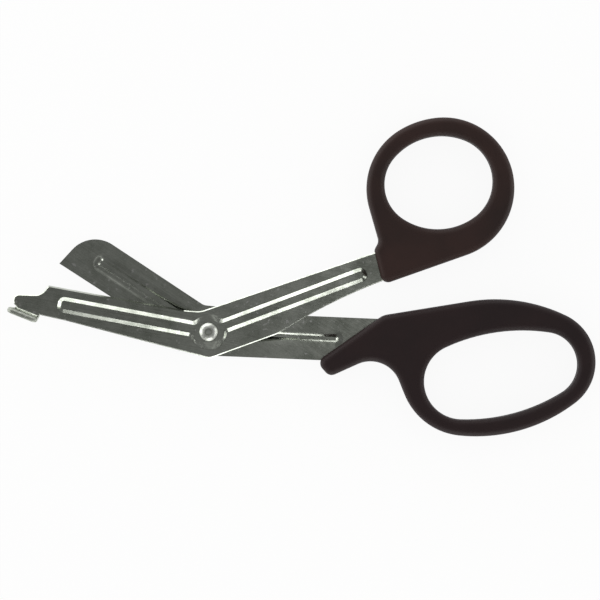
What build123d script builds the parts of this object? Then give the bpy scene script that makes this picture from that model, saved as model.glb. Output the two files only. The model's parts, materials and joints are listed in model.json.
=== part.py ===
from build123d import *
import os
from math import acos, degrees, hypot, radians, sqrt, tan

# Bandage scissors: two pressed steel blades with moulded handles, turning on one rivet.
# Each half has a blade whose axis ends at the pivot, and a shank that leaves it at the handle bend.
# Half frame: x from tip to handle, y towards the cutting edge, z outwards from the other half.
# Shank frame: x along the shank from the pivot, y towards the thumb side.

# Place of the pivot from the middle of the footprint
pivot_x = -29.98
pivot_y = -17.74

# Stance, in degrees
guard_angle = -10.6
blade_opening = 22.3
handle_bend = 30.5

# Sheet steel
sheet = 1.6
blade_gap = 0.06
edge_break = 0.3
edge_break_depth = 0.23
edge_land = 0.35
bevel_width = 0.45

# Pressed bead and boss, hollow behind
bead_height = 1.0
bead_slope = 37.0
blade_bead_crest = 2.6
shank_bead_crest = 2.05
bead_floor_corner = 0.3
bead_blend = 1.5
bead_round = 0.4
groove_round = 3.0
boss_margin = 1.5
boss_foot_stretch = 0.3
boss_ledge = 0.3
boss_crest_stretch = 2.0

# Guard blade
guard_reach = 53.3
guard_edge_tip = 5.25
guard_edge_root = 5.4
guard_edge_end = 9.0
guard_crook_x = 3.8
guard_crook_y = 5.95
guard_crook_radius = 6.0
guard_heel_x = 2.0
guard_heel_y = 8.3
guard_heel_radius = 3.0
guard_back = 4.9
guard_taper_length = 7.3
guard_bead_to_tip = 3.8

# Nose and probe foot at the guard blade's tip
foot_root_ahead = 1.6
foot_root_y = 4.6
foot_slope = 11.0
foot_bend_angle = 80.0
foot_bend_radius = 0.7
foot_height = 6.0
foot_overhang = 0.8
foot_heel = 0.5
foot_corner = 1.8
foot_corner_share = 0.3
foot_edge_share = 0.44
nose_length = 9.0
nose_width = 3.3
nose_round_share = 0.56
nose_shoulder_ahead = 2.0
nose_shoulder_y = 1.7
nose_shoulder_radius = 4.0

# Guard shank and tang, across the shank line
guard_shank_upper = 5.8
guard_shank_lower = 3.65
guard_waist_start = 21.0
guard_waist = 8.15
guard_waist_radius = 12.0
guard_bead_angle = 31.2
guard_bead_to_collar = 3.6
guard_tang_upper = 3.4
guard_tang_lower = 2.4
guard_tang_length = 22.0

# Plain blade
plain_reach = 52.4
plain_edge = 7.63
plain_edge_end = 9.0
plain_back = 6.9
plain_end_slant = 2.5
plain_tip_radius = 10.0
plain_crook_x = 6.0
plain_crook_y = 6.4
plain_crook_radius = 4.0
plain_heel_x = 2.1
plain_heel_radius = 3.0
plain_bead_to_tip = 9.2

# Plain shank and tang, across the shank line
plain_shank_upper = 6.5
plain_shank_lower = 7.6
plain_waist_start = 30.0
plain_bead_angle = 29.8
plain_bead_to_notch = 14.8
plain_tang_half = 4.4
plain_tang_cover = 1.5

# Tangs of both halves
tang_lap = 2.0
tang_taper = 2.5
anchor_radius = 1.5
anchor_setback = 4.5

# Handles
handle_thickness = 10.0
handle_round = 2.2
corner_round = 2.5
round_wall_share = 0.48
round_corner_share = 0.9

# Thumb ring, in the shank frame
thumb_near_x = 81.95
thumb_near_cover = 4.15
thumb_near_radius = 13.3
thumb_far_spread = 7.3
thumb_far_cover = 1.55
thumb_far_radius = 14.3
thumb_side_slack = 2.76
thumb_wall = 4.58
thumb_rim_shift_x = -1.64
thumb_rim_shift_y = -1.49
thumb_rim_spread = 2.6
thumb_rim_rise = -0.65
thumb_rim_growth = 0.62
thumb_rim_slack = 4.63
collar_length = 4.35
collar_wall_upper = 0.7
collar_wall_lower = 1.05
collar_slant = 1.2
neck_gap = 0.75
neck_step = 2.1
neck_radius = 3.0

# Finger ring, in the shank frame
finger_near_x = 82.25
finger_near_y = -12.6
finger_near_radius = 12.25
finger_far_spread = 26.55
finger_far_rise = 6.6
finger_far_radius = 10.55
finger_side_slack = 33.92
finger_near_wall = 4.95
finger_far_wall = 5.05
finger_near_shift_x = 1.15
finger_near_shift_y = 3.85
finger_far_shift_x = -0.35
finger_far_shift_y = 0.85
finger_rim_slack = 20.98
notch_gap = 4.35
notch_y = -3.6
notch_radius = 10.0
finger_top_setback = 1.8
finger_top_wall = 1.15
finger_top_radius = 6.0
finger_nose_length = 20.8
finger_nose_wall = 0.6
finger_nose_depth = 4.5
finger_nose_set = 4.4

# Pivot rivet
rivet_radius = 2.0
rivet_slip = 0.02
pivot_clearance = 0.04
clinch_radius = 2.9
clinch_play = 0.05
clinch_seat = 0.15
clinch_height = 1.2
clinch_bulge = 0.2
dimple_radius = 1.25
dimple_depth = 0.9
dimple_floor = 0.85
rivet_head_radius = 3.1
rivet_head_height = 1.1
rivet_head_edge = 0.4


def turned(x, y, angle):
    """Point given in a frame that is turned about the pivot, in the frame it is turned from."""
    return Vector(x, y).rotate(Axis.Z, angle)


def touch_point(point, centre, radius, side):
    """Where the line from a point touches a circle, left (1) or right (-1) of the way to its centre."""
    way = centre - point
    swing = degrees(acos(radius / way.length))
    return centre - way.normalized().rotate(Axis.Z, -side * swing) * radius


def beyond(centre, radius, origin):
    """Point of a circle on the far side of its centre, as seen from another point."""
    return centre + (centre - origin).normalized() * radius


def short_arc(centre, radius, start, end):
    """Arc about a centre, the short way round from start to end."""
    bulge = beyond(centre, radius, centre * 2 - (start + end) / 2)
    return ThreePointArc(start, bulge, end)


class Oval:
    """Two end circles wrapped by two side arcs, left and right of the way from near to far end.

    The slack is how much the side arcs' radius is over half the oval's length: none makes a circle.
    """

    def __init__(self, near, near_radius, far, far_radius, slack):
        self.near = near
        self.near_radius = near_radius
        self.far = far
        self.far_radius = far_radius
        axis = far - near
        self.half_length = (near_radius + axis.length + far_radius) / 2
        self.middle = (near + far + axis.normalized() * (far_radius - near_radius)) / 2
        self.side_radius = self.half_length + slack
        near_arm = self.side_radius - near_radius
        far_arm = self.side_radius - far_radius
        along = (near_arm**2 - far_arm**2 + axis.length**2) / (2 * axis.length)
        across = axis.normalized().rotate(Axis.Z, 90) * sqrt(near_arm**2 - along**2)
        self.left_centre = near + axis.normalized() * along - across
        self.right_centre = near + axis.normalized() * along + across
        self.near_left = beyond(near, near_radius, self.left_centre)
        self.far_left = beyond(far, far_radius, self.left_centre)
        self.near_right = beyond(near, near_radius, self.right_centre)
        self.far_right = beyond(far, far_radius, self.right_centre)

    def draw(self, mode):
        """Draw the closed oval in the open sketch."""
        with BuildLine() as edge:
            short_arc(self.right_centre, self.side_radius, self.near_right, self.far_right)
            ThreePointArc(self.far_right, beyond(self.far, self.far_radius, self.near), self.far_left)
            short_arc(self.left_centre, self.side_radius, self.far_left, self.near_left)
            ThreePointArc(self.near_left, beyond(self.near, self.near_radius, self.far), self.near_right)
        make_face(edge.edges(), mode=mode)


# Frames and levels
middle = handle_thickness / 2
plain_angle = guard_angle - blade_opening
guard_way = Vector(1, 0).rotate(Axis.Z, guard_angle)
plain_way = Vector(1, 0).rotate(Axis.Z, plain_angle)
guard_frame = Plane((pivot_x, pivot_y, middle + blade_gap / 2), guard_way, (0, 0, 1))
plain_frame = Plane((pivot_x, pivot_y, middle - blade_gap / 2), plain_way, (0, 0, -1))
guard_shank_frame = Plane((pivot_x, pivot_y, middle), guard_way.rotate(Axis.Z, handle_bend), (0, 0, 1))
plain_shank_frame = Plane((pivot_x, pivot_y, middle), plain_way.rotate(Axis.Z, handle_bend), (0, 0, 1))

# Ring holes and rims
thumb_near_y = guard_tang_upper + thumb_near_cover + thumb_near_radius
thumb_far_y = guard_tang_upper + thumb_far_cover + thumb_far_radius
thumb_hole = Oval(
    Vector(thumb_near_x, thumb_near_y),
    thumb_near_radius,
    Vector(thumb_near_x + thumb_far_spread, thumb_far_y),
    thumb_far_radius,
    thumb_side_slack,
)
thumb_rim_radius = thumb_hole.half_length + thumb_wall
thumb_rim_near = thumb_hole.middle + Vector(thumb_rim_shift_x, thumb_rim_shift_y)
thumb_rim_far = thumb_rim_near + Vector(thumb_rim_spread, thumb_rim_rise)
thumb_rim = Oval(
    thumb_rim_near,
    thumb_rim_radius,
    thumb_rim_far,
    thumb_rim_radius + thumb_rim_growth,
    thumb_rim_slack,
)
finger_hole = Oval(
    Vector(finger_near_x, finger_near_y),
    finger_near_radius,
    Vector(finger_near_x + finger_far_spread, finger_near_y + finger_far_rise),
    finger_far_radius,
    finger_side_slack,
)
finger_near_shift = Vector(finger_near_shift_x, finger_near_shift_y)
finger_far_shift = Vector(finger_far_shift_x, finger_far_shift_y)
finger_rim = Oval(
    finger_hole.near + finger_near_shift,
    finger_near_radius + finger_near_shift.length + finger_near_wall,
    finger_hole.far + finger_far_shift,
    finger_far_radius + finger_far_shift.length + finger_far_wall,
    finger_rim_slack,
)

# Corners of the two handles' necks
thumb_edge_x = thumb_rim.near.X - thumb_rim.near_radius
collar_x = thumb_edge_x - collar_length
collar_lower = Vector(collar_x, -guard_shank_lower - collar_wall_lower)
collar_upper = Vector(collar_x + collar_slant, guard_shank_upper + collar_wall_upper)
neck = Vector(thumb_edge_x - neck_gap, collar_upper.Y + neck_step)
notch = Vector(finger_rim.near.X - finger_rim.near_radius - notch_gap, notch_y)
finger_top = Vector(notch.X - finger_top_setback, plain_shank_upper + finger_top_wall)
finger_nose = Vector(finger_top.X - finger_nose_length, -plain_shank_lower - finger_nose_wall)
finger_chin = finger_nose + Vector(finger_nose_set, -finger_nose_depth)

# Plan width of the bead's wall, how far the groove behind is drawn in, and the boss's foot and crest
bead_run = bead_height / tan(radians(bead_slope))
bead_inset = sheet * tan(radians(bead_slope / 2))
bead_corner = bead_floor_corner + bead_run + bead_inset
boss_foot_radius = hypot(guard_crook_x, guard_crook_y) - boss_margin
boss_crest_radius = clinch_radius + boss_ledge


def bead_outline(plane, bend, blade_reach, shank_reach, inset, boss_radius, boss_stretch):
    """Bead along blade and shank, drawn in by an inset, with the stretched boss round the pivot."""
    blade_width = blade_bead_crest + 2 * (bead_run - inset)
    shank_width = shank_bead_crest + 2 * (bead_run - inset)
    with BuildSketch(mode=Mode.PRIVATE) as strip:
        Rectangle(shank_reach - inset, shank_width, align=(Align.MIN, Align.CENTER))
        fillet(strip.vertices().sort_by(Axis.X)[-2:], radius=bead_corner - inset)
    with BuildSketch(plane) as outline:
        Rectangle(blade_reach - inset, blade_width, align=(Align.MAX, Align.CENTER))
        fillet(outline.vertices().sort_by(Axis.X)[:2], radius=bead_corner - inset)
        add(strip.sketch, rotation=bend)
        SlotCenterToCenter(2 * boss_stretch, 2 * boss_radius, rotation=bend / 2)
        fillet(outline.vertices().sort_by_distance((0, 0))[4:8], radius=bead_blend)
    return outline.sketch.face()


def outward(frame):
    """Axis along which a half's faces are sorted, from its inner side outwards."""
    return Axis(frame.origin, frame.z_dir)


def break_edges(blade, frame):
    """Break the outer edges of a blade's blank, in the open part."""
    outside = blade.faces().sort_by(outward(frame))[-1]
    chamfer(outside.edges(), length=edge_break, length2=edge_break_depth, reference=outside)


def grind_bevel(frame, tip, root):
    """Grind the outer side of a straight cutting edge, in the open part."""
    start = frame.from_local_coords(tip)
    way = (frame.from_local_coords(root) - start).normalized()
    section = Plane(start - way * bevel_width, frame.z_dir.cross(way), way)
    drop = sheet - edge_land
    with BuildSketch(section) as wedge:
        with BuildLine():
            Polyline(
                (-2 * bevel_width, sheet + drop),
                (bevel_width, edge_land - drop),
                (bevel_width, sheet + drop),
                close=True,
            )
        make_face()
    extrude(wedge.sketch, amount=(root - tip).length + bevel_width, mode=Mode.SUBTRACT)


def bead_wall(frame, level, bend, blade_reach, shank_reach, inset):
    """The bead's outline at a level of the half frame, and its crest one bead height further out."""
    return [
        bead_outline(
            frame.offset(level),
            bend,
            blade_reach,
            shank_reach,
            inset,
            boss_foot_radius - inset,
            boss_foot_stretch,
        ),
        bead_outline(
            frame.offset(level + bead_height),
            bend,
            blade_reach,
            shank_reach,
            inset + bead_run,
            boss_crest_radius - inset,
            boss_crest_stretch,
        ),
    ]


def press_bead(blade, frame, bend, blade_reach, shank_reach):
    """Press the bead and boss outwards in the open part, with the groove behind them."""
    loft(bead_wall(frame, sheet, bend, blade_reach, shank_reach, 0), ruled=True)
    crest = blade.faces().sort_by(outward(frame))[-1]
    fillet(crest.edges(), radius=bead_round)
    flat = blade.faces().filter_by(frame).filter_by(lambda face: len(face.inner_wires()) > 0)[0]
    fillet(flat.inner_wires()[0].edges(), radius=bead_round)
    loft(bead_wall(frame, 0, bend, blade_reach, shank_reach, bead_inset), ruled=True, mode=Mode.SUBTRACT)
    inside = blade.faces().filter_by(frame).sort_by(outward(frame))[0]
    fillet(inside.inner_wires()[0].edges(), radius=groove_round)


# Probe foot: a strip bent up along the nose's lower edge and cut to a rounded pad
foot_root = Vector(-guard_reach - foot_root_ahead, -foot_root_y)
fold_way = Vector(-1, 0).rotate(Axis.Z, -foot_slope)
foot_start = guard_frame.from_local_coords(foot_root - fold_way * foot_heel)
foot_way = Vector(-1, 0).rotate(Axis.Z, guard_angle - foot_slope)
foot_down = foot_way.rotate(Axis.Z, 90)
foot_section = Plane(foot_start, foot_down, foot_way)
foot_side = Plane(foot_start, foot_way, -foot_down)
bend_centre = Vector(0, sheet + foot_bend_radius)
bend_out = Vector(0, -1).rotate(Axis.Z, foot_bend_angle)
flange_way = Vector(1, 0).rotate(Axis.Z, foot_bend_angle)
bend_inside = bend_centre + bend_out * foot_bend_radius
bend_outside = bend_centre + bend_out * (foot_bend_radius + sheet)
foot_edge_round = foot_edge_share * sheet
nose_round = nose_round_share * nose_width
foot_length = foot_heel + nose_length + foot_overhang
foot_rise = guard_frame.origin.Z + sheet + foot_bend_radius + foot_edge_round

with BuildPart() as foot:
    with BuildSketch(foot_section):
        with BuildLine():
            Polyline((0, sheet), (-foot_bend_radius, sheet), (-foot_bend_radius, 0), (0, 0))
            short_arc(bend_centre, foot_bend_radius + sheet, Vector(0, 0), bend_outside)
            Polyline(
                bend_outside,
                bend_outside + flange_way * foot_height,
                bend_inside + flange_way * foot_height,
                bend_inside,
            )
            short_arc(bend_centre, foot_bend_radius, bend_inside, Vector(0, sheet))
        make_face()
    extrude(amount=foot_length)
    with BuildSketch(foot_side) as pad:
        with BuildLine():
            Polyline(
                (0, 0),
                (foot_heel + nose_length - nose_round, 0),
                (foot_length, foot_height / 2),
                (foot_length, foot_height),
                (0, foot_height),
                close=True,
            )
        make_face()
        pad_corner = min(foot_corner, foot_corner_share * foot_height)
        fillet(pad.vertices().sort_by(Axis.Y)[-3:], radius=pad_corner)
    extrude(amount=2 * foot_height, both=True, mode=Mode.INTERSECT)
    flange_faces = foot.faces().filter_by(GeomType.PLANE).sort_by(SortBy.AREA)[-2:]
    flange_edges = flange_faces.edges().filter_by(lambda edge: edge.center().Z > foot_rise)
    fillet(flange_edges, radius=foot_edge_round)

# Guard blade
guard_tip = Vector(-guard_reach, guard_edge_tip)
guard_edge_heel = Vector(-guard_edge_end, guard_edge_root)
guard_crook = Vector(-guard_crook_x, guard_crook_y)
guard_heel = Vector(guard_heel_x, -guard_heel_y)
guard_waist_corner = turned(guard_waist_start, -guard_waist, handle_bend)
guard_shoulder_x = collar_x + tang_lap
guard_tang_x = guard_shoulder_x + tang_taper
guard_tang_end = collar_x + guard_tang_length
guard_lower_end = turned(guard_shoulder_x, -guard_shank_lower, handle_bend)
nose_tip = foot_root + fold_way * nose_length
nose_top = nose_tip + Vector(0, nose_width)
nose_shoulder = Vector(-guard_reach - nose_shoulder_ahead, nose_shoulder_y)

with BuildPart() as guard_blade:
    with BuildSketch(guard_frame) as blank:
        with BuildLine():
            Polyline(
                guard_tip,
                guard_edge_heel,
                guard_crook,
                turned(guard_shoulder_x, guard_shank_upper, handle_bend),
                turned(guard_tang_x, guard_tang_upper, handle_bend),
                turned(guard_tang_end, guard_tang_upper, handle_bend),
                turned(guard_tang_end, -guard_tang_lower, handle_bend),
                turned(guard_tang_x, -guard_tang_lower, handle_bend),
                guard_lower_end,
            )
            TangentArc(guard_lower_end, guard_waist_corner, tangent=turned(-1, 0, handle_bend))
            Polyline(
                guard_waist_corner,
                guard_heel,
                Vector(guard_taper_length - guard_reach, -guard_back),
                foot_root,
                nose_tip,
                nose_top,
                nose_shoulder,
                guard_tip,
            )
        make_face()
        fillet(blank.vertices().sort_by_distance(guard_crook)[0], radius=guard_crook_radius)
        fillet(blank.vertices().sort_by_distance(guard_heel)[0], radius=guard_heel_radius)
        fillet(blank.vertices().sort_by_distance(guard_waist_corner)[0], radius=guard_waist_radius)
        fillet(blank.vertices().sort_by_distance(nose_shoulder)[0], radius=nose_shoulder_radius)
        fillet(blank.vertices().sort_by_distance(nose_top)[0], radius=nose_round)
        fillet(blank.vertices().sort_by_distance(nose_tip)[0], radius=nose_round)
    extrude(amount=sheet)
    break_edges(guard_blade, guard_frame)
    press_bead(
        guard_blade,
        guard_frame,
        guard_bead_angle,
        guard_reach - guard_bead_to_tip,
        collar_x - guard_bead_to_collar,
    )
    grind_bevel(guard_frame, guard_tip, guard_edge_heel)
    add(foot.part)
    with Locations(guard_frame):
        Hole(radius=rivet_radius + pivot_clearance)
    with Locations(guard_shank_frame):
        with Locations((guard_tang_end - anchor_setback, (guard_tang_upper - guard_tang_lower) / 2)):
            Hole(radius=anchor_radius)

# Plain blade
plain_tip = Vector(-plain_reach, plain_edge)
plain_heel = Vector(plain_heel_x, plain_edge)
plain_crook = Vector(-plain_crook_x, -plain_crook_y)
plain_tip_back = Vector(plain_end_slant - plain_reach, -plain_back)
plain_lower_x = finger_chin.X + tang_lap
plain_upper_x = finger_top.X + tang_lap
plain_tang_end = finger_near_x - finger_near_radius - plain_tang_cover

with BuildPart() as plain_blade:
    with BuildSketch(plain_frame) as blank:
        with BuildLine():
            Polyline(
                plain_tip,
                plain_heel,
                turned(plain_lower_x, plain_shank_lower, -handle_bend),
                turned(plain_lower_x + tang_taper, plain_tang_half, -handle_bend),
                turned(plain_tang_end, plain_tang_half, -handle_bend),
                turned(plain_tang_end, -plain_tang_half, -handle_bend),
                turned(plain_upper_x + tang_taper, -plain_tang_half, -handle_bend),
                turned(plain_upper_x, -plain_shank_upper, -handle_bend),
                turned(plain_waist_start, -plain_shank_upper, -handle_bend),
                plain_crook,
                plain_tip_back,
                close=True,
            )
        make_face()
        fillet(blank.vertices().sort_by_distance(plain_heel)[0], radius=plain_heel_radius)
        fillet(blank.vertices().sort_by_distance(plain_crook)[0], radius=plain_crook_radius)
        fillet(blank.vertices().sort_by_distance(plain_tip_back)[0], radius=plain_tip_radius)
    extrude(amount=sheet)
    break_edges(plain_blade, plain_frame)
    press_bead(
        plain_blade,
        plain_frame,
        -plain_bead_angle,
        plain_reach - plain_bead_to_tip,
        notch.X - plain_bead_to_notch,
    )
    grind_bevel(plain_frame, plain_tip, Vector(-plain_edge_end, plain_edge))
    with Locations(plain_frame):
        Hole(radius=rivet_radius + rivet_slip)
    with Locations(plain_shank_frame):
        with Locations((plain_tang_end - anchor_setback, 0)):
            Hole(radius=anchor_radius)

# Pivot rivet: domed head at the back, hollow end rolled over at the front
front_seat = middle + blade_gap / 2 + sheet + bead_height + clinch_play
rear_seat = middle - blade_gap / 2 - sheet - bead_height
roll_level = front_seat + clinch_seat
roll_foot = Vector(clinch_radius, roll_level)
roll_crown = Vector(dimple_radius, roll_level + clinch_height)
roll_slope = (roll_crown - roll_foot).normalized()
roll_middle = (roll_foot + roll_crown) / 2 + roll_slope.rotate(Axis.Z, -90) * clinch_bulge
head_rim = Vector(rivet_head_radius, rear_seat - rivet_head_edge)
head_crown = Vector(0, rear_seat - rivet_head_height)

with BuildPart() as pivot_rivet:
    with BuildSketch(Plane((pivot_x, pivot_y, 0), (1, 0, 0), (0, -1, 0))):
        with BuildLine():
            TangentArc(head_crown, head_rim, tangent=(1, 0))
            Polyline(
                head_rim,
                (rivet_head_radius, rear_seat),
                (rivet_radius, rear_seat),
                (rivet_radius, front_seat),
                (clinch_radius, front_seat),
                roll_foot,
            )
            ThreePointArc(roll_foot, roll_middle, roll_crown)
            Polyline(
                roll_crown,
                roll_crown + Vector(dimple_floor - dimple_radius, -dimple_depth),
                (0, roll_crown.Y - dimple_depth),
                head_crown,
            )
        make_face()
    revolve(axis=Axis((pivot_x, pivot_y, 0), (0, 0, 1)))

# Thumb handle, moulded round the guard blade's tang
rim_lower_touch = touch_point(collar_lower, thumb_rim.far, thumb_rim.far_radius, -1)
rim_upper_touch = touch_point(neck, thumb_rim.near, thumb_rim.near_radius, 1)
thumb_round = min(handle_round, round_wall_share * thumb_wall, round_corner_share * corner_round)

with BuildPart() as thumb_handle:
    with BuildSketch(guard_shank_frame) as outline:
        with BuildLine():
            Line(collar_lower, rim_lower_touch)
            ThreePointArc(
                rim_lower_touch,
                beyond(thumb_rim.far, thumb_rim.far_radius, thumb_rim.near),
                thumb_rim.far_left,
            )
            short_arc(
                thumb_rim.left_centre,
                thumb_rim.side_radius,
                thumb_rim.far_left,
                thumb_rim.near_left,
            )
            short_arc(thumb_rim.near, thumb_rim.near_radius, thumb_rim.near_left, rim_upper_touch)
            Polyline(rim_upper_touch, neck, collar_upper, collar_lower)
        make_face()
        fillet(outline.vertices().sort_by_distance(neck)[0], radius=neck_radius)
        fillet(outline.vertices().sort_by_distance(collar_upper)[0], radius=corner_round)
        fillet(outline.vertices().sort_by_distance(collar_lower)[0], radius=corner_round)
        thumb_hole.draw(Mode.SUBTRACT)
    extrude(amount=handle_thickness / 2, both=True)
    fillet(thumb_handle.faces().filter_by(Axis.Z).edges(), radius=thumb_round)
    add(guard_blade.part, mode=Mode.SUBTRACT)

# Finger handle, moulded round the plain blade's tang, with a slanted nose over the shank
rim_top_touch = touch_point(finger_top, finger_rim.left_centre, finger_rim.side_radius, 1)
rim_notch_touch = touch_point(notch, finger_rim.near, finger_rim.near_radius, -1)
finger_wall = min(finger_near_wall, finger_far_wall)
finger_round = min(handle_round, round_wall_share * finger_wall, round_corner_share * corner_round)

with BuildPart() as finger_handle:
    with BuildSketch(plain_shank_frame) as outline:
        with BuildLine():
            Polyline(rim_top_touch, finger_top, finger_nose, finger_chin, notch, rim_notch_touch)
            short_arc(finger_rim.near, finger_rim.near_radius, rim_notch_touch, finger_rim.near_right)
            short_arc(
                finger_rim.right_centre,
                finger_rim.side_radius,
                finger_rim.near_right,
                finger_rim.far_right,
            )
            ThreePointArc(
                finger_rim.far_right,
                beyond(finger_rim.far, finger_rim.far_radius, finger_rim.near),
                finger_rim.far_left,
            )
            short_arc(finger_rim.left_centre, finger_rim.side_radius, finger_rim.far_left, rim_top_touch)
        make_face()
        fillet(outline.vertices().sort_by_distance(notch)[0], radius=notch_radius)
        fillet(outline.vertices().sort_by_distance(finger_top)[0], radius=finger_top_radius)
        fillet(outline.vertices().sort_by_distance(finger_nose)[0], radius=corner_round)
        fillet(outline.vertices().sort_by_distance(finger_chin)[0], radius=corner_round)
        finger_hole.draw(Mode.SUBTRACT)
    extrude(amount=handle_thickness / 2, both=True)
    fillet(finger_handle.faces().filter_by(Axis.Z).edges(), radius=finger_round)
    add(plain_blade.part, mode=Mode.SUBTRACT)

# Labels and files
guard_blade.part.label = "guard_blade"
plain_blade.part.label = "plain_blade"
pivot_rivet.part.label = "pivot_rivet"
thumb_handle.part.label = "thumb_handle"
finger_handle.part.label = "finger_handle"
os.makedirs("parts", exist_ok=True)
export_step(guard_blade.part, "parts/guard_blade.step")
export_step(plain_blade.part, "parts/plain_blade.step")
export_step(pivot_rivet.part, "parts/pivot_rivet.step")
export_step(thumb_handle.part, "parts/thumb_handle.step")
export_step(finger_handle.part, "parts/finger_handle.step")
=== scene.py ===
import json
import logging
import math
from dataclasses import dataclass, field
from enum import Enum
from typing import Any, Sequence

import bmesh
import bpy
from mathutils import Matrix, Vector


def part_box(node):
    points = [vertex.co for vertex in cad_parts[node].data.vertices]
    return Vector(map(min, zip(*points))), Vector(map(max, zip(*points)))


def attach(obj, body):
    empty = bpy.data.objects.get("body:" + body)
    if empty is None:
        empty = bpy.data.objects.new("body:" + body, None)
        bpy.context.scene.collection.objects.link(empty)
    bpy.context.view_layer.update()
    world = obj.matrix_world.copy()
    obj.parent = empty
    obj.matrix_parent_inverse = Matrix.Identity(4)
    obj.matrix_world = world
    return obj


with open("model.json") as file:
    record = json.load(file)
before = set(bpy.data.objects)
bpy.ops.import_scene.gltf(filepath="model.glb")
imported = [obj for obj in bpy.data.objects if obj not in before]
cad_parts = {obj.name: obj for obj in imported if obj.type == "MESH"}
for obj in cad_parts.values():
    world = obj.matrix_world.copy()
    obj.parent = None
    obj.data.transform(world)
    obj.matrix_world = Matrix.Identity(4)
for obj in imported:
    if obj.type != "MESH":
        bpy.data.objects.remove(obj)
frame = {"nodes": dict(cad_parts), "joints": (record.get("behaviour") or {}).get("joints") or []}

log = logging.getLogger("bandage_scissors")

MM: float = 0.001
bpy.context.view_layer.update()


class Slot(str, Enum):
    """Material slots of the part's record."""

    HANDLE_PLASTIC = "handle_plastic"


class Half(str, Enum):
    """The two bodies that turn about the rivet."""

    FINGER = "finger_half"
    THUMB = "thumb_half"


def linear(tone: str) -> tuple[float, float, float, float]:
    """Turn an sRGB hex colour into linear light.

    Args:
        tone: Colour as "#rrggbb".

    Returns:
        Linear red, green and blue with full alpha.
    """
    # The numbers of the curve are the sRGB standard's own.
    parts = [int(tone[i : i + 2], 16) / 255 for i in (1, 3, 5)]
    curve = [p / 12.92 if p <= 0.04045 else ((p + 0.055) / 1.055) ** 2.4 for p in parts]
    return curve[0], curve[1], curve[2], 1.0


def add_node(
    tree: bpy.types.NodeTree,
    kind: str,
    settings: dict[str, Any] | None = None,
    inputs: dict[str | int, Any] | None = None,
) -> bpy.types.Node:
    """Add a node to a tree, with its settings, values and links.

    Args:
        tree: Node tree that takes the node.
        kind: Blender's name of the node type.
        settings: Attributes of the node to set.
        inputs: Input name or number to a value, or to the output socket that feeds it.

    Returns:
        The new node.
    """
    node = tree.nodes.new(kind)
    for name, value in (settings or {}).items():
        setattr(node, name, value)
    for name, value in (inputs or {}).items():
        if isinstance(value, bpy.types.NodeSocket):
            tree.links.new(value, node.inputs[name])
        else:
            node.inputs[name].default_value = value
    return node


def fresh_material(name: str) -> bpy.types.Material:
    """Make an empty node material.

    Args:
        name: The material's name.

    Returns:
        The material, with no nodes in its tree.
    """
    material = bpy.data.materials.new(name)
    material.use_nodes = True
    material.node_tree.nodes.clear()
    return material


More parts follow.
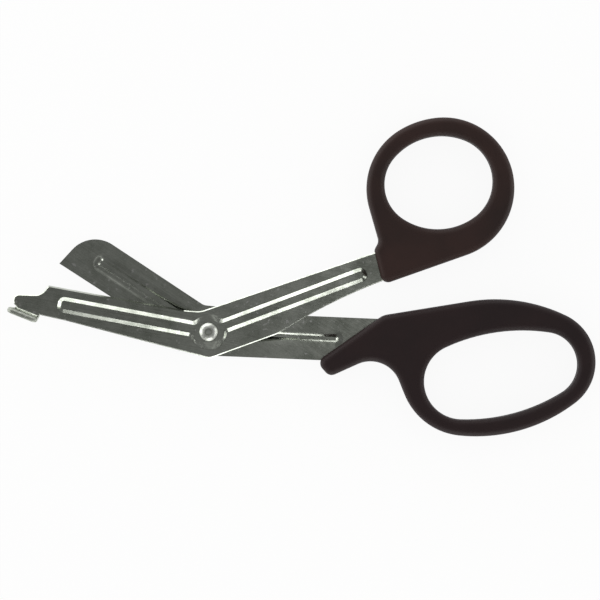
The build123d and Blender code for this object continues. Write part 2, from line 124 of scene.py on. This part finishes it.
@dataclass(frozen=True)
class PressedStainless:
    """Rolled stainless sheet, pressed and belt-polished along the blade.

    The belt leaves fine lines that stretch a reflection across them, and handling leaves dull
    and dark patches, so the flats look grey and mottled while bent walls flash white. The probe
    foot's upper edge is tumbled smooth, which leaves it paler and duller.
    """

    name: str
    grain_deg: float
    tone: str = "#d5d9cf"
    smear_tone: str = "#989d92"
    speck_tone: str = "#e6e7e2"
    roughness: float = 0.17
    smear_roughness: float = 0.3
    # Belt lines of about 0.05 mm are too fine to show, so they are drawn 0.35 mm wide.
    line_width_mm: float = 0.35
    line_length_mm: float = 12.0
    line_depth_mm: float = 0.0025
    line_share: float = 0.35
    smear_size_mm: float = 11.0
    smear_span: tuple[float, float] = (0.5, 0.85)
    speck_size_mm: float = 1.5
    speck_span: tuple[float, float] = (0.68, 0.78)
    tumbled_from_mm: float = 8.8
    tumbled_full_mm: float = 9.8
    tumbled_roughness: float = 0.62

    def material(self) -> bpy.types.Material:
        """Build the material.

        Returns:
            The finished steel.
        """
        made = fresh_material(self.name)
        tree = made.node_tree
        place = add_node(tree, "ShaderNodeTexCoord").outputs["Object"]
        line_width = self.line_width_mm * MM
        along = add_node(
            tree,
            "ShaderNodeMapping",
            {"vector_type": "TEXTURE"},
            {
                "Vector": place,
                "Rotation": (0.0, 0.0, math.radians(self.grain_deg)),
                "Scale": (self.line_length_mm * MM, line_width, line_width),
            },
        )
        lines = add_node(
            tree,
            "ShaderNodeTexNoise",
            None,
            {"Vector": along.outputs["Vector"], "Scale": 1.0, "Detail": 2.0, "Roughness": 0.6},
        )
        smears = add_node(
            tree,
            "ShaderNodeTexNoise",
            None,
            {
                "Vector": place,
                "Scale": 1.0 / (self.smear_size_mm * MM),
                "Detail": 8.0,
                "Roughness": 0.72,
            },
        )
        streaks = add_node(
            tree,
            "ShaderNodeMath",
            {"operation": "MULTIPLY_ADD"},
            {0: lines.outputs["Fac"], 1: self.line_share, 2: smears.outputs["Fac"]},
        )
        dullness = add_node(
            tree,
            "ShaderNodeMapRange",
            None,
            {
                "Value": streaks.outputs[0],
                "From Min": self.smear_span[0],
                "From Max": self.smear_span[1],
            },
        )
        tint = add_node(
            tree,
            "ShaderNodeMix",
            {"data_type": "RGBA"},
            {
                "Factor": dullness.outputs["Result"],
                "A": linear(self.tone),
                "B": linear(self.smear_tone),
            },
        )
        specks = add_node(
            tree,
            "ShaderNodeTexNoise",
            None,
            {"Vector": place, "Scale": 1.0 / (self.speck_size_mm * MM), "Detail": 1.0},
        )
        sparse = add_node(
            tree,
            "ShaderNodeMapRange",
            None,
            {
                "Value": specks.outputs["Fac"],
                "From Min": self.speck_span[0],
                "From Max": self.speck_span[1],
            },
        )
        skin = add_node(
            tree,
            "ShaderNodeMix",
            {"data_type": "RGBA"},
            {
                "Factor": sparse.outputs["Result"],
                "A": tint.outputs["Result"],
                "B": linear(self.speck_tone),
            },
        )
        gloss = add_node(
            tree,
            "ShaderNodeMapRange",
            None,
            {
                "Value": dullness.outputs["Result"],
                "To Min": self.roughness,
                "To Max": self.smear_roughness,
            },
        )
        height = add_node(tree, "ShaderNodeSeparateXYZ", None, {"Vector": place}).outputs["Z"]
        tumbled = add_node(
            tree,
            "ShaderNodeMapRange",
            None,
            {
                "Value": height,
                "From Min": self.tumbled_from_mm * MM,
                "From Max": self.tumbled_full_mm * MM,
            },
        )
        satin = add_node(
            tree,
            "ShaderNodeMix",
            {"data_type": "FLOAT"},
            {
                "Factor": tumbled.outputs["Result"],
                "A": gloss.outputs["Result"],
                "B": self.tumbled_roughness,
            },
        )
        relief = add_node(
            tree,
            "ShaderNodeBump",
            None,
            {
                "Height": lines.outputs["Fac"],
                "Strength": 1.0,
                "Distance": self.line_depth_mm * MM,
            },
        )
        shader = add_node(
            tree,
            "ShaderNodeBsdfPrincipled",
            None,
            {
                "Base Color": skin.outputs["Result"],
                "Roughness": satin.outputs["Result"],
                "Normal": relief.outputs["Normal"],
                "Metallic": 1.0,
            },
        )
        add_node(tree, "ShaderNodeOutputMaterial", None, {"Surface": shader.outputs["BSDF"]})
        return made


@dataclass(frozen=True)
class RolledRivetSteel:
    """Plated rivet steel, burnished where the tool rolled its end over.

    The rolling leaves a bright collar, slightly dented and worn in patches, round a duller middle.
    """

    name: str = "rolled_plated_rivet_steel"
    tone: str = "#f4f6ef"
    worn_tone: str = "#cdd0c8"
    roughness: float = 0.36
    worn_roughness: float = 0.5
    grain_size_mm: float = 0.8
    grain_depth_mm: float = 0.012

    def material(self) -> bpy.types.Material:
        """Build the material.

        Returns:
            The finished rivet steel.
        """
        made = fresh_material(self.name)
        tree = made.node_tree
        place = add_node(tree, "ShaderNodeTexCoord").outputs["Object"]
        grain = add_node(
            tree,
            "ShaderNodeTexNoise",
            None,
            {"Vector": place, "Scale": 1.0 / (self.grain_size_mm * MM), "Detail": 3.0},
        )
        dullness = add_node(
            tree,
            "ShaderNodeMapRange",
            None,
            {
                "Value": grain.outputs["Fac"],
                "To Min": self.roughness,
                "To Max": self.worn_roughness,
            },
        )
        wear = add_node(
            tree,
            "ShaderNodeMix",
            {"data_type": "RGBA"},
            {
                "Factor": grain.outputs["Fac"],
                "A": linear(self.tone),
                "B": linear(self.worn_tone),
            },
        )
        relief = add_node(
            tree,
            "ShaderNodeBump",
            None,
            {
                "Height": grain.outputs["Fac"],
                "Strength": 1.0,
                "Distance": self.grain_depth_mm * MM,
            },
        )
        shader = add_node(
            tree,
            "ShaderNodeBsdfPrincipled",
            None,
            {
                "Base Color": wear.outputs["Result"],
                "Roughness": dullness.outputs["Result"],
                "Normal": relief.outputs["Normal"],
                "Metallic": 1.0,
            },
        )
        add_node(tree, "ShaderNodeOutputMaterial", None, {"Surface": shader.outputs["BSDF"]})
        return made


@dataclass(frozen=True)
class MouldedPlastic:
    """Injection-moulded nylon, dyed brown-black, from a finely eroded mould.

    The mould's grain spreads the gloss into a faint sheen, and the dye clouds a little.
    """

    name: str
    tone: str
    cloud_tone: str
    roughness: float = 0.5
    cloud_roughness: float = 0.62
    cloud_size_mm: float = 16.0
    # Eroded grain of about 0.05 mm is too fine to show, so it is drawn 0.3 mm wide.
    grain_size_mm: float = 0.3
    grain_depth_mm: float = 0.006
    # Nylon's own IOR. The grain swallows half of its mirror light.
    ior: float = 1.52
    specular_level: float = 0.25

    def material(self) -> bpy.types.Material:
        """Build the material.

        Returns:
            The finished plastic.
        """
        made = fresh_material(self.name)
        tree = made.node_tree
        place = add_node(tree, "ShaderNodeTexCoord").outputs["Object"]
        clouds = add_node(
            tree,
            "ShaderNodeTexNoise",
            None,
            {"Vector": place, "Scale": 1.0 / (self.cloud_size_mm * MM), "Detail": 3.0},
        )
        grain = add_node(
            tree,
            "ShaderNodeTexNoise",
            None,
            {"Vector": place, "Scale": 1.0 / (self.grain_size_mm * MM), "Detail": 2.0},
        )
        dye = add_node(
            tree,
            "ShaderNodeMix",
            {"data_type": "RGBA"},
            {
                "Factor": clouds.outputs["Fac"],
                "A": linear(self.tone),
                "B": linear(self.cloud_tone),
            },
        )
        gloss = add_node(
            tree,
            "ShaderNodeMapRange",
            None,
            {
                "Value": clouds.outputs["Fac"],
                "To Min": self.roughness,
                "To Max": self.cloud_roughness,
            },
        )
        relief = add_node(
            tree,
            "ShaderNodeBump",
            None,
            {
                "Height": grain.outputs["Fac"],
                "Strength": 1.0,
                "Distance": self.grain_depth_mm * MM,
            },
        )
        shader = add_node(
            tree,
            "ShaderNodeBsdfPrincipled",
            None,
            {
                "Base Color": dye.outputs["Result"],
                "Roughness": gloss.outputs["Result"],
                "Normal": relief.outputs["Normal"],
                "IOR": self.ior,
                "Specular IOR Level": self.specular_level,
            },
        )
        add_node(tree, "ShaderNodeOutputMaterial", None, {"Surface": shader.outputs["BSDF"]})
        return made


@dataclass(frozen=True)
class PaperSweep:
    """White studio paper: plain and matt, shown as white, with a share kept for shadows."""

    name: str = "white_studio_paper"
    tone: str = "#f2f2f0"
    glow_share: float = 0.92

    def material(self) -> bpy.types.Material:
        """Build the material.

        Returns:
            The finished paper.
        """
        made = fresh_material(self.name)
        tree = made.node_tree
        path = add_node(tree, "ShaderNodeLightPath")
        direct = add_node(
            tree,
            "ShaderNodeMath",
            {"operation": "MAXIMUM"},
            {0: path.outputs["Is Camera Ray"], 1: path.outputs["Is Glossy Ray"]},
        )
        seen = add_node(
            tree,
            "ShaderNodeMath",
            {"operation": "MAXIMUM"},
            {0: direct.outputs[0], 1: path.outputs["Is Transmission Ray"]},
        )
        share = add_node(
            tree,
            "ShaderNodeMath",
            {"operation": "MULTIPLY"},
            {0: seen.outputs[0], 1: self.glow_share},
        )
        paper = add_node(tree, "ShaderNodeBsdfDiffuse", None, {"Color": linear(self.tone)})
        white = add_node(tree, "ShaderNodeEmission", None, {"Strength": 1.0})
        mixed = add_node(
            tree,
            "ShaderNodeMixShader",
            None,
            {0: share.outputs[0], 1: paper.outputs[0], 2: white.outputs[0]},
        )
        add_node(tree, "ShaderNodeOutputMaterial", None, {"Surface": mixed.outputs[0]})
        return made


@dataclass(frozen=True)
class GreyTent:
    """Grey tent cloth: dim, with one lighter panel over the handles, for flat steel to mirror.

    The shares are parts of the tent's height and length, from its foot and from the end past the
    tips.
    """

    name: str = "grey_tent_cloth"
    foot_level: float = 0.19
    foot_share: float = 0.55
    crown_level: float = 0.15
    panel_level: float = 0.47
    panel_start: tuple[float, float] = (0.503, 0.531)
    panel_end: tuple[float, float] = (0.56, 0.6)

    def material(self) -> bpy.types.Material:
        """Build the material.

        Returns:
            The finished cloth.
        """
        made = fresh_material(self.name)
        tree = made.node_tree
        place = add_node(tree, "ShaderNodeTexCoord").outputs["Generated"]
        shares = add_node(tree, "ShaderNodeSeparateXYZ", None, {"Vector": place})
        rise = add_node(
            tree,
            "ShaderNodeMapRange",
            None,
            {
                "Value": shares.outputs["X"],
                "From Min": self.panel_start[0],
                "From Max": self.panel_start[1],
                "To Min": self.crown_level,
                "To Max": self.panel_level,
            },
        )
        fall = add_node(
            tree,
            "ShaderNodeMapRange",
            None,
            {
                "Value": shares.outputs["X"],
                "From Min": self.panel_end[0],
                "From Max": self.panel_end[1],
                "To Min": self.panel_level,
                "To Max": self.crown_level,
            },
        )
        crown = add_node(
            tree,
            "ShaderNodeMath",
            {"operation": "MINIMUM"},
            {0: rise.outputs["Result"], 1: fall.outputs["Result"]},
        )
        level = add_node(
            tree,
            "ShaderNodeMapRange",
            None,
            {
                "Value": shares.outputs["Z"],
                "From Max": self.foot_share,
                "To Min": self.foot_level,
                "To Max": crown.outputs[0],
            },
        )
        glow = add_node(tree, "ShaderNodeEmission", None, {"Strength": level.outputs["Result"]})
        add_node(tree, "ShaderNodeOutputMaterial", None, {"Surface": glow.outputs[0]})
        return made


def dress(node: str, material: bpy.types.Material) -> bpy.types.Object:
    """Give a solid of the frame its finish.

    Args:
        node: The solid's name.
        material: Finish for all of its surface.

    Returns:
        The solid's object.
    """
    solid = frame["nodes"][node]
    solid.data.materials.clear()
    solid.data.materials.append(material)
    return solid


def place_mesh(name: str, mesh: bmesh.types.BMesh) -> bpy.types.Object:
    """Turn a finished bmesh into an object of the scene.

    Args:
        name: Name of the piece.
        mesh: The mesh, which is freed.

    Returns:
        The new object.
    """
    data = bpy.data.meshes.new(name)
    mesh.to_mesh(data)
    mesh.free()
    piece = bpy.data.objects.new(name, data)
    bpy.context.scene.collection.objects.link(piece)
    return piece


@dataclass
class Blade:
    """One pressed steel half: blade, shank and tang."""

    node: str
    finish: PressedStainless

    def build(self) -> list[bpy.types.Object]:
        """Dress the blade in its steel."""
        return [dress(self.node, self.finish.material())]


@dataclass
class Rivet:
    """The rolled rivet that the halves turn on."""

    node: str = "pivot_rivet"
    finish: RolledRivetSteel = field(default_factory=RolledRivetSteel)

    def build(self) -> list[bpy.types.Object]:
        """Dress the rivet in its steel."""
        return [dress(self.node, self.finish.material())]


@dataclass
class Handle:
    """One moulded handle, with the line left where the mould halves met."""

    node: str
    half: Half
    finish: MouldedPlastic
    flash_height_mm: float = 0.1
    flash_width_mm: float = 0.36
    flash_root_mm: float = 0.05
    weld_mm: float = 0.001

    def parting_line(self, material: bpy.types.Material) -> bpy.types.Object:
        """Raise the mould's parting line round the handle at half its height.

        Args:
            material: Finish of the handle.

        Returns:
            The raised line as one piece.
        """
        low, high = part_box(self.node)
        level = (low.z + high.z) / 2
        cut = bmesh.new()
        cut.from_mesh(frame["nodes"][self.node].data)
        bmesh.ops.remove_doubles(cut, verts=cut.verts, dist=self.weld_mm * MM)
        found = bmesh.ops.bisect_plane(
            cut,
            geom=list(cut.verts) + list(cut.edges) + list(cut.faces),
            plane_co=(0.0, 0.0, level),
            plane_no=(0.0, 0.0, 1.0),
        )
        rims = [item for item in found["geom_cut"] if isinstance(item, bmesh.types.BMEdge)]
        flash = bmesh.new()
        for loop in self.closed_loops(rims):
            self.raise_flash(flash, loop)
        cut.free()
        line = place_mesh(self.node + "_parting_line", flash)
        line.data.materials.append(material)
        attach(line, self.half.value)
        return line

    @staticmethod
    def closed_loops(edges: Sequence[bmesh.types.BMEdge]) -> list[list[tuple[Vector, Vector]]]:
        """String cut edges into closed loops.

        Args:
            edges: Edges of the cut, each of which meets two others.

        Returns:
            Each loop as points with the handle's outward direction there.
        """
        links: dict[bmesh.types.BMVert, list[bmesh.types.BMVert]] = {}
        for edge in edges:
            a, b = edge.verts
            links.setdefault(a, []).append(b)
            links.setdefault(b, []).append(a)
        loops: list[list[tuple[Vector, Vector]]] = []
        left = dict.fromkeys(links)
        while left:
            start = next(iter(left))
            chain, before, here = [], None, start
            while here in left:
                del left[here]
                chain.append(here)
                ahead = [v for v in links[here] if v is not before]
                before, here = here, ahead[0]
            rim = []
            for vert in chain:
                side = sum((f.normal for f in vert.link_faces), Vector())
                side.z = 0.0
                rim.append((vert.co.copy(), side.normalized()))
            loops.append(rim)
        return loops

    def raise_flash(self, mesh: bmesh.types.BMesh, loop: Sequence[tuple[Vector, Vector]]) -> None:
        """Add a low ridge along a closed loop.

        Args:
            mesh: Mesh that takes the ridge.
            loop: Points with their outward directions.
        """
        up = Vector((0.0, 0.0, self.flash_width_mm / 2 * MM))
        rings = []
        for point, side in loop:
            root = point - side * self.flash_root_mm * MM
            crest = point + side * self.flash_height_mm * MM
            rings.append([mesh.verts.new(c) for c in (root - up, crest, root + up)])
        for here, ahead in zip(rings, rings[1:] + rings[:1]):
            for i in range(len(here)):
                j = (i + 1) % len(here)
                mesh.faces.new((here[i], here[j], ahead[j], ahead[i]))
        bmesh.ops.recalc_face_normals(mesh, faces=mesh.faces)

    def build(self) -> list[bpy.types.Object]:
        """Dress the handle and raise its parting line."""
        material = self.finish.material()
        return [dress(self.node, material), self.parting_line(material)]


@dataclass(frozen=True)
class Softbox:
    """One rectangular soft lamp, aimed at the middle of the scissors.

    The level is how bright its face looks, where 1 is white.
    """

    name: str
    azimuth_deg: float
    level: float
    width_mm: float
    away_mm: float = 520.0
    raised_mm: float = 105.0
    height_mm: float = 200.0

    def build(self, aim: Vector) -> None:
        """Set the lamp up.

        Args:
            aim: Point that it faces.
        """
        lamp = bpy.data.lights.new(self.name, "AREA")
        lamp.shape = "RECTANGLE"
        lamp.size = self.width_mm * MM
        lamp.size_y = self.height_mm * MM
        lamp.energy = self.level * math.pi * lamp.size * lamp.size_y
        box = bpy.data.objects.new(self.name, lamp)
        turn = math.radians(self.azimuth_deg)
        spot = (self.away_mm * math.cos(turn), self.away_mm * math.sin(turn), self.raised_mm)
        box.location = aim + Vector(spot) * MM
        box.rotation_euler = (aim - box.location).to_track_quat("-Z", "Y").to_euler()
        box.visible_camera = False
        bpy.context.scene.collection.objects.link(box)


@dataclass
class Studio:
    """Paper floor, even room light, soft lamps, grey tent and the camera straight above."""

    floor_mm: float = 9000.0
    room_tone: str = "#ffffff"
    room_level: float = 0.68
    tent_mm: float = 1000.0
    tent_hem_mm: float = 10.0
    tent_segments: int = 48
    tent_rings: int = 24
    camera_height_mm: float = 1500.0
    sensor_mm: float = 36.0
    frame_px: float = 600.0
    px_per_mm: float = 3.1
    pivot_px: tuple[float, float] = (208.6, 331.9)
    paper: PaperSweep = field(default_factory=PaperSweep)
    cloth: GreyTent = field(default_factory=GreyTent)
    lamps: tuple[Softbox, ...] = (
        Softbox("back_softbox", azimuth_deg=110.0, level=2.8, width_mm=840.0),
        Softbox("front_softbox", azimuth_deg=273.6, level=3.2, width_mm=410.0),
        Softbox("tip_softbox", azimuth_deg=177.0, level=3.0, width_mm=440.0),
        Softbox("handle_softbox", azimuth_deg=0.0, level=2.4, width_mm=600.0),
    )

    def lay_floor(self) -> None:
        """Lay the paper under the scissors."""
        mesh = bmesh.new()
        bmesh.ops.create_grid(mesh, x_segments=1, y_segments=1, size=self.floor_mm / 2 * MM)
        floor = place_mesh("paper_floor", mesh)
        floor.data.materials.append(self.paper.material())

    def pitch_tent(self) -> None:
        """Pitch the grey tent round lamps and scissors, where only reflections find it."""
        mesh = bmesh.new()
        bmesh.ops.create_uvsphere(
            mesh,
            u_segments=self.tent_segments,
            v_segments=self.tent_rings,
            radius=self.tent_mm * MM,
        )
        under = [vert for vert in mesh.verts if vert.co.z < -self.tent_hem_mm * MM]
        bmesh.ops.delete(mesh, geom=under, context="VERTS")
        tent = place_mesh("grey_tent", mesh)
        tent.data.materials.append(self.cloth.material())
        tent.visible_camera = False
        tent.visible_diffuse = False
        tent.visible_shadow = False
        tent.visible_transmission = False

    def light_room(self) -> None:
        """Fill the room with even light."""
        world = bpy.data.worlds.new("even_room")
        bpy.context.scene.world = world
        world.use_nodes = True
        tree = world.node_tree
        tree.nodes.clear()
        room = add_node(
            tree,
            "ShaderNodeBackground",
            None,
            {"Color": linear(self.room_tone), "Strength": self.room_level},
        )
        add_node(tree, "ShaderNodeOutputWorld", None, {"Surface": room.outputs[0]})

    def set_camera(self, pivot: Vector) -> None:
        """Set the camera straight above, so that the rivet falls on its place in the picture.

        Args:
            pivot: Middle of the rivet.
        """
        middle = self.frame_px / 2
        across = (middle - self.pivot_px[0]) / self.px_per_mm * MM
        upward = (self.pivot_px[1] - middle) / self.px_per_mm * MM
        lens = bpy.data.cameras.new("camera_above")
        lens.sensor_width = self.sensor_mm
        lens.lens = self.sensor_mm * self.camera_height_mm * self.px_per_mm / self.frame_px
        lens.clip_end = 2 * self.floor_mm * MM
        camera = bpy.data.objects.new("camera_above", lens)
        camera.location = pivot + Vector((across, upward, self.camera_height_mm * MM))
        bpy.context.scene.collection.objects.link(camera)
        bpy.context.scene.camera = camera

    def build(self, pivot: Vector) -> None:
        """Set the whole studio up round the scissors.

        Args:
            pivot: Middle of the rivet.
        """
        bpy.context.scene.view_settings.view_transform = "Standard"
        self.set_camera(pivot)
        self.lay_floor()
        self.pitch_tent()
        self.light_room()
        footprint_middle = Vector((0.0, 0.0, 0.0))
        for lamp in self.lamps:
            lamp.build(footprint_middle)


def main() -> None:
    """Build the studio and dress the scissors, reporting each piece."""
    logging.basicConfig(level=logging.INFO, format="%(message)s")
    pivot = Vector(frame["joints"][0]["pos_m"])
    Studio().build(pivot)
    guard_steel = PressedStainless("belt_polished_stainless_guard", grain_deg=-10.6)
    plain_steel = PressedStainless("belt_polished_stainless_plain", grain_deg=-32.9)
    thumb_nylon = MouldedPlastic(
        "moulded_brown_nylon", tone="#211917", cloud_tone="#39231e"
    )
    finger_nylon = MouldedPlastic(
        "moulded_brown_black_nylon", tone="#1d1617", cloud_tone="#2d1c1c"
    )
    pieces = [
        *Blade("guard_blade", guard_steel).build(),
        *Blade("plain_blade", plain_steel).build(),
        *Rivet().build(),
        *Handle("thumb_handle", Half.THUMB, thumb_nylon).build(),
        *Handle("finger_handle", Half.FINGER, finger_nylon).build(),
    ]
    for piece in pieces:
        log.info("%s: %d faces", piece.name, len(piece.data.polygons))


if __name__ == "__main__":
    main()
